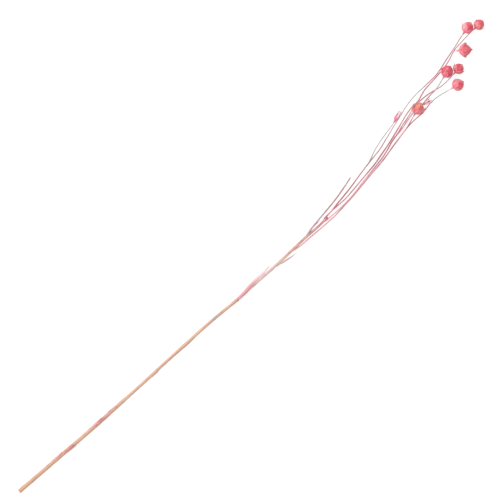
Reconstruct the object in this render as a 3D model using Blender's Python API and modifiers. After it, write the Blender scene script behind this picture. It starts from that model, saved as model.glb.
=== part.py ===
"""A dried flax stem lying on a surface.

One object per piece: the main stem, its branches and short stalks, seven seed capsules with their calyces,
two buds with theirs, the dried leaves and the bracts. Run it with: blender --background --python part.py
"""

import math

import bmesh
import bpy
import numpy as np
from mathutils import Quaternion, Vector

MM = 0.001

# Driving dimensions, in millimetres. X runs from the cut end to the tip, Z is up from the surface.
ROW_ORIGIN = Vector((237.75, -6.19, 0.0))  # middle of the footprint, measured from the cut end
GAP = 0.3  # clearance between neighbouring pieces
SEPAL_THICKNESS = 0.35
LEAF_THICKNESS = 0.3
STEM_STEP = 4.0  # greatest distance between the rings of a stem
STALK_RADIUS = 0.28  # of a stalk too short to have points of its own
RECEPTACLE_RADIUS = 0.75  # the swollen top of a stalk, under its calyx
RECEPTACLE_LENGTH = 1.3

CAPSULE_BASE = 0.92  # depth of a capsule's flattened base below its centre, in radii
CAPSULE_BASE_SPREAD = 0.75  # how far from the base the flattening reaches, in radians
CAPSULE_BEAK = 0.16  # height of its pointed tip above the round top, in radii
CAPSULE_BEAK_SPREAD = 0.2  # how far from the tip the beak reaches, in radians
SUTURE_DEPTH = 0.05  # depth of its ten grooves, in radii
SUTURES = 10
SEPALS = 5
SEPAL_COLUMNS = 4  # faces across a sepal
SEPAL_ROWS = 5  # faces along a sepal
SEPAL_NOTCH = 0.12  # how far the gaps between the sepals open, as a share of their width
SEPAL_NOTCH_DEPTH = 0.15  # the part of their length over which the gaps open
LEAF_ROWS = 8

# Roughness of papery walls, and of stalks, sepals and leaves
PAPERY = 0.6
DRY = 0.75

# Colours, linear RGB
STRAW = (0.73, 0.44, 0.30)
ROSE = (0.66, 0.25, 0.27)
CORAL = (0.82, 0.13, 0.15)
ORANGE = (0.82, 0.21, 0.12)
SEPAL_PINK = (0.80, 0.20, 0.25)
MAGENTA = (0.80, 0.12, 0.29)
LEAF_PINK = (0.85, 0.45, 0.48)

# Each stem: its parent and the X where it leaves it (None for the main stem and for the branch that carries
# it on), then its colour, then the points of its middle line as (x, y, z, radius).
STEMS = {
    "main_stem": (None, None, STRAW, [
        (0, -0.75, 1.50, 1.50), (36, -3.5, 1.40, 1.40), (72, -6.3, 1.40, 1.40), (88, -7.3, 1.32, 1.32),
        (108, -8.4, 1.15, 1.15), (144, -10.1, 1.10, 1.10), (180, -12.1, 1.10, 1.10),
        (216, -15.2, 1.10, 1.10), (231, -16.0, 1.10, 1.10), (245, -17.0, 1.15, 1.05),
        (260, -17.6, 1.50, 1.00), (270, -17.9, 1.85, 0.96), (278, -18.3, 2.20, 0.92),
        (286.6, -19.0, 2.60, 0.85), (296, -19.15, 3.05, 0.78),
    ]),
    "broken_twig": ("main_stem", 279.0, ROSE, [
        (284, -16.4, 3.7, 0.62), (290, -15.8, 5.0, 0.60), (298.3, -15.1, 6.8, 0.60),
        (309.5, -14.0, 8.8, 0.60), (320, -12.2, 10.7, 0.58), (327.8, -10.6, 11.8, 0.45),
    ]),
    "upper_branch": (None, None, ROSE, [
        (296.7, -18.9, 3.15, 0.62), (299.5, -18.05, 3.4, 0.58), (303.6, -17.75, 3.8, 0.56),
        (306.9, -17.3, 4.2, 0.55), (314.8, -16.6, 4.9, 0.58), (325.3, -15.4, 5.6, 0.54),
        (334.9, -13.9, 6.0, 0.48), (346.7, -12.4, 6.2, 0.50), (351.5, -11.9, 6.2, 0.46),
        (358.6, -11.1, 6.2, 0.45), (364.2, -9.7, 6.1, 0.40), (370.1, -8.3, 6.0, 0.38),
        (377.7, -6.4, 5.9, 0.38), (385.4, -4.8, 5.6, 0.36), (393.3, -2.95, 5.3, 0.34),
        (402.5, -1.9, 5.0, 0.34), (413.1, -2.2, 4.8, 0.38), (425.4, -2.2, 4.9, 0.40),
        (436.8, 0.15, 5.2, 0.43), (448.3, 2.4, 5.5, 0.38), (455.5, 4.1, 5.8, 0.35),
    ]),
    "bud_branch": ("upper_branch", 347.0, ROSE, [
        (354.3, -9.2, 7.4, 0.36), (362, -7.4, 8.2, 0.36), (371.6, -5.9, 8.9, 0.34), (376, -5.3, 9.2, 0.32),
    ]),
    "middle_branch": ("upper_branch", 305.5, ROSE, [
        (314.6, -18.8, 3.8, 0.45), (325.5, -18.1, 3.5, 0.45), (336.7, -17.15, 3.4, 0.47),
        (347.9, -16.2, 3.6, 0.56), (357.1, -14.5, 4.4, 0.56), (364.2, -13.2, 5.5, 0.52),
        (373.9, -10.9, 7.6, 0.52), (380.8, -9.1, 9.1, 0.43), (388.2, -7.2, 10.6, 0.43),
        (394.6, -6.25, 11.2, 0.45), (401.5, -6.25, 10.9, 0.48), (405.5, -5.15, 10.0, 0.50),
        (410.6, -4.0, 8.2, 0.49), (416, -3.75, 6.0, 0.44), (421.5, -3.55, 4.0, 0.41),
        (426.5, -3.2, 2.9, 0.41), (431.5, -2.9, 2.5, 0.40), (438.6, -1.45, 2.7, 0.38),
        (446.2, 0.9, 3.0, 0.36), (452.9, 1.4, 2.7, 0.34), (460.5, 1.6, 2.5, 0.33), (464.5, 1.6, 2.7, 0.33),
    ]),
    "lower_branch": ("main_stem", 295.0, ROSE, [
        (299.5, -20.4, 2.6, 0.46), (303.5, -20.8, 2.35, 0.44), (308, -21.05, 2.2, 0.43),
        (314, -21.1, 2.1, 0.43), (323, -20.55, 2.0, 0.43), (334.7, -19.05, 2.0, 0.43),
        (345.9, -18.0, 2.0, 0.45), (356.6, -16.6, 1.9, 0.47), (362.2, -15.3, 1.8, 0.47),
        (368.3, -13.6, 1.7, 0.49), (376.4, -12.2, 1.5, 0.48), (381, -10.8, 1.4, 0.42),
        (387.1, -9.75, 1.2, 0.40), (392.8, -8.3, 1.1, 0.39), (398, -7.5, 1.1, 0.38),
        (402.7, -7.25, 1.2, 0.41), (408, -7.65, 1.3, 0.44), (412.1, -8.4, 1.4, 0.40),
        (416.2, -9.4, 1.5, 0.33), (420.2, -10.5, 1.8, 0.33), (423.8, -11.0, 2.2, 0.33),
        (429, -11.1, 2.9, 0.32),
    ]),
    "side_branch": ("main_stem", 264.0, ROSE, [
        (268, -19.65, 1.1, 0.43), (277.4, -20.45, 0.9, 0.42), (286.8, -21.3, 0.75, 0.42),
        (294, -21.85, 0.7, 0.42), (301.5, -22.2, 0.7, 0.42), (307, -22.05, 0.7, 0.42),
        (311.5, -21.8, 0.7, 0.42), (318, -21.6, 0.7, 0.42), (328.3, -20.75, 0.7, 0.43),
        (340, -19.6, 0.7, 0.44), (347.9, -19.1, 0.75, 0.45), (355.8, -18.3, 0.8, 0.46),
        (365.7, -16.7, 1.0, 0.46), (374.1, -15.5, 1.3, 0.43), (383.8, -14.3, 1.7, 0.40),
        (388.2, -14.1, 1.8, 0.38), (395.8, -14.5, 1.8, 0.38), (401.9, -14.5, 1.9, 0.38),
        (406.7, -13.8, 2.0, 0.36), (411.8, -13.95, 2.3, 0.35), (416.2, -14.7, 2.7, 0.34),
        (421.5, -16.1, 3.3, 0.33),
    ]),
    "pedicel_3": ("middle_branch", 445.8, ROSE, []),
    "pedicel_4": ("lower_branch", 377.5, ROSE, [
        (384, -11.4, 1.3, 0.38), (389, -10.5, 1.1, 0.38), (393, -9.9, 1.0, 0.38), (398, -10.2, 1.0, 0.38),
        (403.2, -10.2, 1.0, 0.38), (407.3, -9.9, 1.3, 0.41), (411.6, -9.6, 2.0, 0.37),
        (415.7, -9.6, 2.9, 0.36), (419.7, -9.0, 3.8, 0.35), (423.4, -8.2, 4.8, 0.34),
    ]),
    "pedicel_7": ("side_branch", 384.0, ROSE, [(388.7, -12.6, 3.9, 0.35)]),
    "bud_pedicel": ("pedicel_4", 401.5, ROSE, []),
}

# Each capsule: the stem that carries it, its centre, its radius, how far its sepal tips stand off it, the
# turn of its sepals about its own axis in degrees, how far its round shape goes over to a diamond, and its
# colour.
CAPSULES = [
    ("upper_branch", (464.0, 5.6, 6.25), 3.90, 0.2, 0, 0.0, CORAL),
    ("middle_branch", (471.7, 1.3, 4.2), 3.45, 0.4, 30, 0.0, CORAL),
    ("pedicel_3", (451.3, -4.4, 6.2), 4.45, 0.3, 54, 0.6, CORAL),
    ("pedicel_4", (431.1, -6.3, 7.0), 4.10, 0.3, 18, 0.0, CORAL),
    ("lower_branch", (438.8, -10.6, 4.4), 3.45, 0.5, 60, 0.0, CORAL),
    ("side_branch", (430.3, -18.4, 4.6), 3.95, 0.2, 10, 0.0, CORAL),
    ("pedicel_7", (397.6, -10.1, 6.9), 4.10, 0.3, 36, 0.0, ORANGE),
]
DIAMOND_CORNER = 1.15  # distance of the diamond's corners, in radii
DIAMOND_GAP = 0.12  # extra clearance that a diamond's slanting sides need under its calyx
CAPSULE_CUP = 0.23  # where its sepals part, as a share of the way from the calyx's foot to their tips
CAPSULE_SEPAL_END = math.radians(104)  # how far round the capsule they reach

# Each bud: the stem that carries it, its centre, its half length, its radius, how far its sepal tips stand
# out from its side (below 0 they close over it), the turn of its sepals and the height of their tips above
# its middle in half lengths.
BUDS = [
    ("bud_branch", (382.4, -3.8, 9.8), 2.6, 1.40, -0.8, 20, 1.9),
    ("bud_pedicel", (406.0, -11.8, 4.2), 2.1, 1.10, 0.5, 55, 1.4),
]
BUD_SHOULDER = 1.18  # greatest width of a bud, below its middle, as a share of its width there
BUD_CUP = 0.22

# Each leaf or bract: the stem it grew on, the X of its foot, its length, its width, the sides that its foot
# and its tip lie on (degrees about the stem: 0 is +Y, 90 is up) and how far its tip stands off the stem.
LEAVES = {
    "leaf_1": ("main_stem", 209.5, 33.0, 4.2, 85, 15, 1.5),
    "leaf_2": ("main_stem", 246.0, 17.5, 1.3, 172, 172, 2.7),
    "leaf_3": ("main_stem", 32.0, 10.0, 1.8, 35, 35, 0.2),
    "leaf_4": ("main_stem", 44.0, 12.0, 1.6, 172, 172, 0.6),
    "leaf_5": ("main_stem", 68.0, 12.0, 2.0, 30, 30, 0.3),
    "leaf_6": ("main_stem", 81.0, 11.0, 1.6, 20, 20, 0.5),
    "leaf_7": ("main_stem", 203.0, 10.0, 1.6, 178, 178, 0.2),
    "bract_1": ("broken_twig", 285.0, 6.0, 1.1, 200, 200, 0.6),
    "bract_2": ("main_stem", 289.0, 6.8, 1.4, 75, 75, 0.3),
    "bract_3": ("side_branch", 396.0, 6.5, 2.4, 60, 60, 1.1),
}
LEAF_CUPPING = 0.2  # how far a leaf's edges bend back to the stem, in half widths


def clear_scene():
    """Remove whatever the scene starts with, and return the collection that will hold the pieces."""
    for obj in list(bpy.data.objects):
        bpy.data.objects.remove(obj, do_unlink=True)
    collection = bpy.data.collections.new("dried_flax_stem")
    bpy.context.scene.collection.children.link(collection)
    return collection


def in_row(point):
    """A point measured in millimetres from the cut end, in the part's own frame in metres."""
    return (Vector(point) - ROW_ORIGIN) * MM


def paint(obj, colour, roughness):
    """Give a piece a Principled material of its own."""
    material = bpy.data.materials.new(obj.name + "_surface")
    material.use_nodes = True
    shader = material.node_tree.nodes["Principled BSDF"]
    shader.inputs["Base Color"].default_value = (*colour, 1.0)
    shader.inputs["Roughness"].default_value = roughness
    shader.inputs["Metallic"].default_value = 0.0
    material.diffuse_color = (*colour, 1.0)
    obj.data.materials.append(material)


def add_mesh(collection, name, bm):
    """Turn a bmesh into a smooth-shaded object of the collection."""
    mesh = bpy.data.meshes.new(name)
    bm.to_mesh(mesh)
    bm.free()
    mesh.shade_smooth()
    obj = bpy.data.objects.new(name, mesh)
    collection.objects.link(obj)
    return obj


def thicken(obj, thickness):
    """Make an open surface a shell that grows outwards, with its edges kept crisp."""
    obj.data.set_sharp_from_angle(angle=math.radians(50))
    solidify = obj.modifiers.new("thickness", "SOLIDIFY")
    solidify.thickness = thickness * MM
    solidify.offset = 1.0


# ---------------------------------------------------------------- stems


def smooth_route(points):
    """Rings (x, y, z, radius) along a smooth curve through the points."""
    points = np.array(points, float)
    steps = np.linalg.norm(np.diff(points[:, :3], axis=0), axis=1)
    slopes = np.gradient(points, np.concatenate([[0.0], np.cumsum(steps)]), axis=0)
    rings = []
    for i, length in enumerate(steps):
        count = math.ceil(length / STEM_STEP)
        for t in np.arange(count) / count:
            rings.append(
                (2 * t**3 - 3 * t**2 + 1) * points[i]
                + (t**3 - 2 * t**2 + t) * length * slopes[i]
                + (3 * t**2 - 2 * t**3) * points[i + 1]
                + (t**3 - t**2) * length * slopes[i + 1]
            )
    rings.append(points[-1])
    return np.array(rings)


def stem_at(route, x):
    """The middle point, direction and radius of a stem where it passes x."""
    place = [float(np.interp(x, route[:, 0], route[:, k])) for k in range(4)]
    i = int(np.clip(np.searchsorted(route[:, 0], x), 1, len(route) - 1))
    along = Vector(route[i, :3] - route[i - 1, :3]).normalized()
    return Vector(place[:3]), along, place[3]


def fork_point(parent, x, towards, radius):
    """Where a side stem starts: beside its parent, on the side that it grows to."""
    middle, along, parent_radius = stem_at(parent, x)
    aside = towards - middle
    aside -= aside.dot(along) * along
    return middle + aside.normalized() * (parent_radius + radius + GAP)


def capsule_profile(polar, diamond):
    """Radius of a capsule of radius 1, at an angle from its base: flattened there, with a beak at the tip,
    and partly a diamond."""
    base = (1 - CAPSULE_BASE) * math.exp(-((polar / CAPSULE_BASE_SPREAD) ** 2))
    beak = CAPSULE_BEAK * math.exp(-(((math.pi - polar) / CAPSULE_BEAK_SPREAD) ** 2))
    corners = DIAMOND_CORNER / (abs(math.cos(polar)) + abs(math.sin(polar)))
    return (1 - base + beak) * (1 - diamond + diamond * corners)


def calyx_reach(polar, radius, diamond):
    """Distance of a calyx's inner face from the centre of its capsule."""
    return radius * capsule_profile(polar, diamond) + GAP + DIAMOND_GAP * diamond


def seat_depths():
    """The centre of what each stem carries, and how far below it the stem's end lies."""
    depths = {}
    for stem, centre, radius, _, _, diamond, _ in CAPSULES:
        depths[stem] = (Vector(centre), calyx_reach(0, radius, diamond) + SEPAL_THICKNESS + GAP)
    for stem, centre, half_length, *_ in BUDS:
        depths[stem] = (Vector(centre), half_length + GAP + SEPAL_THICKNESS + GAP)
    return depths


def stem_routes():
    """The rings of every stem, and the axis of the capsule or bud on each stem that carries one."""
    routes, axes = {}, {}
    depths = seat_depths()
    for name, (parent, fork_x, _, points) in STEMS.items():
        points = list(points)
        radius = points[-1][3] if points else STALK_RADIUS
        if name in depths:
            centre, depth = depths[name]
            last = Vector(points[-1][:3]) if points else stem_at(routes[parent], fork_x)[0]
            axes[name] = axis = (centre - last).normalized()
            seat = centre - axis * depth
            points += [(*(seat - axis * RECEPTACLE_LENGTH), radius), (*seat, RECEPTACLE_RADIUS)]
        if parent:
            radius = points[0][3]
            start = fork_point(routes[parent], fork_x, Vector(points[0][:3]), radius)
            points.insert(0, (*start, radius))
        routes[name] = smooth_route(points)
    return routes, axes


def make_stem(collection, name, rings, bevel_resolution):
    """A tapering round tube with filled ends through the rings."""
    curve = bpy.data.curves.new(name, "CURVE")
    curve.dimensions = "3D"
    curve.bevel_depth = MM
    curve.bevel_resolution = bevel_resolution
    curve.use_fill_caps = True
    spline = curve.splines.new("POLY")
    spline.points.add(len(rings) - 1)
    for point, ring in zip(spline.points, rings):
        point.co = (*in_row(ring[:3]), 1.0)
        point.radius = ring[3]
    obj = bpy.data.objects.new(name, curve)
    collection.objects.link(obj)
    return obj


# ---------------------------------------------------------------- capsules, calyces and buds


def capsule_shape(polar, around, diamond):
    """The profile with its grooves, which fade out at both ends."""
    groove = (0.5 + 0.5 * math.cos(SUTURES * around)) * math.sin(polar) ** 0.5
    return capsule_profile(polar, diamond) - SUTURE_DEPTH * groove


def place_on_axis(obj, centre, axis, turn):
    """Put a piece modelled along +Z at its centre, with +Z along the axis, turned about it."""
    obj.rotation_mode = "QUATERNION"
    obj.rotation_quaternion = axis.to_track_quat("Z", "Y") @ Quaternion((0, 0, 1), math.radians(turn))
    obj.location = in_row(centre)


def make_round_body(collection, name, segments, rings, move):
    """A closed body from a UV sphere, whose points go where move(polar, around, direction) says."""
    bm = bmesh.new()
    bmesh.ops.create_uvsphere(bm, u_segments=segments, v_segments=rings, radius=1.0)
    for vert in bm.verts:
        direction = vert.co.normalized()
        polar = math.acos(max(-1.0, min(1.0, -direction.z)))
        vert.co = move(polar, math.atan2(direction.y, direction.x), direction) * MM
    return add_mesh(collection, name, bm)


def make_capsule(collection, name, radius, diamond):
    """A round seed capsule with its base at -Z and its beak at +Z."""
    return make_round_body(
        collection, name, 2 * SUTURES, 12,
        lambda polar, around, direction: direction * radius * capsule_shape(polar, around, diamond),
    )


def make_bud(collection, name, half_length, radius):
    """An egg-shaped bud, narrower towards its tip at +Z."""
    def move(polar, around, direction):
        width = radius * (1 - (BUD_SHOULDER - 1) * direction.z)
        return Vector((direction.x * width, direction.y * width, direction.z * half_length))

    return make_round_body(collection, name, 12, 8, move)


def sepal_width(t):
    """A sepal's width as a share of a fifth of the ring: whole where they part (t = 0), none at the tip."""
    return math.cos(math.pi / 2 * t) ** 0.9 * (1 - SEPAL_NOTCH * min(1.0, t / SEPAL_NOTCH_DEPTH))


def make_calyx(collection, name, outline, cup):
    """Five pointed sepals joined in a cup. outline(u) is the radius and height of their inner face, from the
    foot (u = 0) to the tips (u = 1), and they part at u = cup."""
    columns = SEPALS * SEPAL_COLUMNS
    bm = bmesh.new()

    def add_point(u, around):
        radius, height = outline(u)
        return bm.verts.new(Vector((radius * math.cos(around), radius * math.sin(around), height)) * MM)

    def add_ring(u):
        return [add_point(u, 2 * math.pi * (i - SEPAL_COLUMNS / 2) / columns) for i in range(columns)]

    foot = add_point(0.0, 0.0)
    lower, rim = add_ring(cup / 2), add_ring(cup)
    for i in range(columns):
        j = (i + 1) % columns
        bm.faces.new((foot, lower[j], lower[i]))
        bm.faces.new((lower[i], lower[j], rim[j], rim[i]))

    for k in range(SEPALS):
        row = [rim[(k * SEPAL_COLUMNS + i) % columns] for i in range(SEPAL_COLUMNS + 1)]
        for step in range(1, SEPAL_ROWS):
            t = step / SEPAL_ROWS
            half = math.pi / SEPALS * sepal_width(t)
            arounds = [2 * math.pi * k / SEPALS + half * (2 * i / SEPAL_COLUMNS - 1)
                       for i in range(SEPAL_COLUMNS + 1)]
            above = [add_point(cup + (1 - cup) * t, around) for around in arounds]
            for i in range(SEPAL_COLUMNS):
                bm.faces.new((row[i], row[i + 1], above[i + 1], above[i]))
            row = above
        tip = add_point(1.0, 2 * math.pi * k / SEPALS)
        for i in range(SEPAL_COLUMNS):
            bm.faces.new((row[i], row[i + 1], tip))

    obj = add_mesh(collection, name, bm)
    thicken(obj, SEPAL_THICKNESS)
    return obj


def capsule_calyx_outline(radius, tip_stand, diamond):
    """The inner face of a calyx that clasps a capsule, its tips standing off it."""
    def outline(u):
        polar = u * CAPSULE_SEPAL_END
        reach = calyx_reach(polar, radius, diamond) + tip_stand * u**3
        return reach * math.sin(polar), -reach * math.cos(polar)

    return outline


def bud_calyx_outline(half_length, radius, tip_stand, rise):
    """The inner face of a bud's calyx: round the lower half of the bud, then up past it."""
    widest = radius * BUD_SHOULDER + GAP

    def outline(u):
        if u < 0.5:
            return widest * math.sin(math.pi * u), -(half_length + GAP) * math.cos(math.pi * u)
        t = 2 * u - 1
        return widest + tip_stand * t**2, rise * half_length * t

    return outline


# ---------------------------------------------------------------- leaves and bracts


def leaf_width(t):
    """A leaf's width as a share of its greatest, from its foot (t = 0) to its point (t = 1)."""
    return math.sin(math.pi * (0.12 + 0.86 * t) ** 0.8)


def make_leaf(collection, name, route, foot_x, length, width, foot_side, tip_side, tip_stand):
    """A narrow leaf that lies along the stem it grew on, cupped round it."""
    bm = bmesh.new()
    rows = []
    for t in np.linspace(0, 1, LEAF_ROWS + 1):
        middle, along, radius = stem_at(route, foot_x + length * t)
        level = Vector((0, 0, 1)).cross(along).normalized()
        side = math.radians(foot_side + (tip_side - foot_side) * t)
        outwards = level * math.cos(side) + along.cross(level) * math.sin(side)
        across = along.cross(outwards)
        centre = middle + outwards * (radius + GAP + tip_stand * t**2)
        half = width / 2 * leaf_width(t)
        rows.append([
            bm.verts.new(in_row(centre + across * half * v - outwards * LEAF_CUPPING * half * v**2))
            for v in (-1, 0, 1)
        ])
    for low, high in zip(rows, rows[1:]):
        for i in range(2):
            bm.faces.new((low[i], low[i + 1], high[i + 1], high[i]))
    obj = add_mesh(collection, name, bm)
    thicken(obj, LEAF_THICKNESS)
    return obj


# ---------------------------------------------------------------- the whole stem


def main():
    collection = clear_scene()
    routes, axes = stem_routes()

    for name, (_, _, colour, _) in STEMS.items():
        stem = make_stem(collection, name, routes[name], 3 if name == "main_stem" else 2)
        paint(stem, colour, DRY)

    for number, (stem, centre, radius, tip_stand, turn, diamond, colour) in enumerate(CAPSULES, start=1):
        capsule = make_capsule(collection, f"capsule_{number}", radius, diamond)
        place_on_axis(capsule, centre, axes[stem], turn)
        paint(capsule, colour, PAPERY)
        outline = capsule_calyx_outline(radius, tip_stand, diamond)
        calyx = make_calyx(collection, f"calyx_{number}", outline, CAPSULE_CUP)
        place_on_axis(calyx, centre, axes[stem], turn)
        paint(calyx, SEPAL_PINK, DRY)

    for number, (stem, centre, half_length, radius, tip_stand, turn, rise) in enumerate(BUDS, start=1):
        bud = make_bud(collection, f"bud_{number}", half_length, radius)
        place_on_axis(bud, centre, axes[stem], turn)
        paint(bud, MAGENTA, PAPERY)
        outline = bud_calyx_outline(half_length, radius, tip_stand, rise)
        calyx = make_calyx(collection, f"bud_calyx_{number}", outline, BUD_CUP)
        place_on_axis(calyx, centre, axes[stem], turn)
        paint(calyx, SEPAL_PINK, DRY)

    for name, (stem, *sizes) in LEAVES.items():
        leaf = make_leaf(collection, name, routes[stem], *sizes)
        paint(leaf, LEAF_PINK, DRY)


main()
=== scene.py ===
"""The looks of a dried flax stem that lies on a pale surface.

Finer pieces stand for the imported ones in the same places: ridged stalks with leaf scars and real forks,
ribbed seed capsules in veined sepals, buds with rolled petals, and dry curled leaves.
"""

import math

import bpy
import numpy as np
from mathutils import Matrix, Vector, noise


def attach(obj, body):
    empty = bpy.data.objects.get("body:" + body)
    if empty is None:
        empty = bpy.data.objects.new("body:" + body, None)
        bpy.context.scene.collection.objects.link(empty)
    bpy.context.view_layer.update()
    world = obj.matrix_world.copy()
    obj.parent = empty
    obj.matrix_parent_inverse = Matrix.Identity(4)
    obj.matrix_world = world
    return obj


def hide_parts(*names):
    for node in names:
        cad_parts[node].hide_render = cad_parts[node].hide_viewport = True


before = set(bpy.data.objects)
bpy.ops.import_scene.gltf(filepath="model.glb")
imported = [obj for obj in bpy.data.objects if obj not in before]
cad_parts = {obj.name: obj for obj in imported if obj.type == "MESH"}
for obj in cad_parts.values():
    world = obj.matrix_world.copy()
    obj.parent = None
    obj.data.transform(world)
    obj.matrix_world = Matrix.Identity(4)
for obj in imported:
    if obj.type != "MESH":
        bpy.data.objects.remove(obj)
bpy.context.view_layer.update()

MM = 0.001

# ---------------- driving dimensions, in millimetres

# X runs from the cut end to the tip, +Y to the side that the light comes from, Z up from the surface.
ROW_ORIGIN = (237.75, -6.19, 0.0)  # the origin of the row frame, measured from the cut end
LOWEST = 0.03  # what rests on the surface is flattened at this height
GAP = 0.3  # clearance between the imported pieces
SEPAL_THICKNESS = 0.35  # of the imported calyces
SEPAL_BLADE = 0.15  # thickness of the finer sepals
LEAF_BLADE = 0.13  # thickness of the leaves and bracts
STALK_RADIUS = 0.28  # of the stalks whose course has no points of its own
RECEPTACLE_RADIUS = 0.75  # of a stalk's end under its capsule or bud
RECEPTACLE_LENGTH = 1.3
CAPSULE_BASE = 0.92  # from a capsule's centre to its flattened base, in radii
FULLNESS = 0.25  # how far a capsule fills the clearance of its packed calyx
FORK_RUN = 3.5  # how far before the fork a side stalk starts, inside its parent
FORK_COLLAR = 1.12  # how much thicker it is where it parts from its parent

# The surface of a stalk and of a capsule. Heights and depths are in radii, angles in degrees.
RIDGE_HEIGHT = 0.05
RIDGE_SCALES = ((1.8, 1.8, 1.0), (4.5, 4.5, 2.2))  # coarse and fine ridges: how close, round it and along it
SCAR_HEIGHT = 0.09
SCAR_TURN = 137.5  # round the stalk from one leaf scar to the next
FIRST_SCAR = 4.0  # in millimetres from the stalk's start
SEAM_DEPTH = 0.042
FINE_SEAM_DEPTH = 0.022
SEPAL_START = 9  # where the sepals of a capsule start, from its base
SEPAL_END = 104  # and where they end

# How many parts there are, and how finely the meshes are divided.
CELLS = 5  # of a capsule, with a deep seam between them and a fine one down each
SEPALS = 5
PETALS = 5
MAIN_DETAIL = (28, 0.6, 8.0)  # points round the stalk, step between its rings, run between its leaf scars
SIDE_DETAIL = (14, 0.5, 21.0)
CAPSULE_ROWS, CAPSULE_COLUMNS = 60, 140
SEPAL_ROWS, SEPAL_COLUMNS = 26, 14
BUD_ROWS, BUD_COLUMNS = 40, 60
LEAF_ROWS, LEAF_COLUMNS = 50, 15

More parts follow.
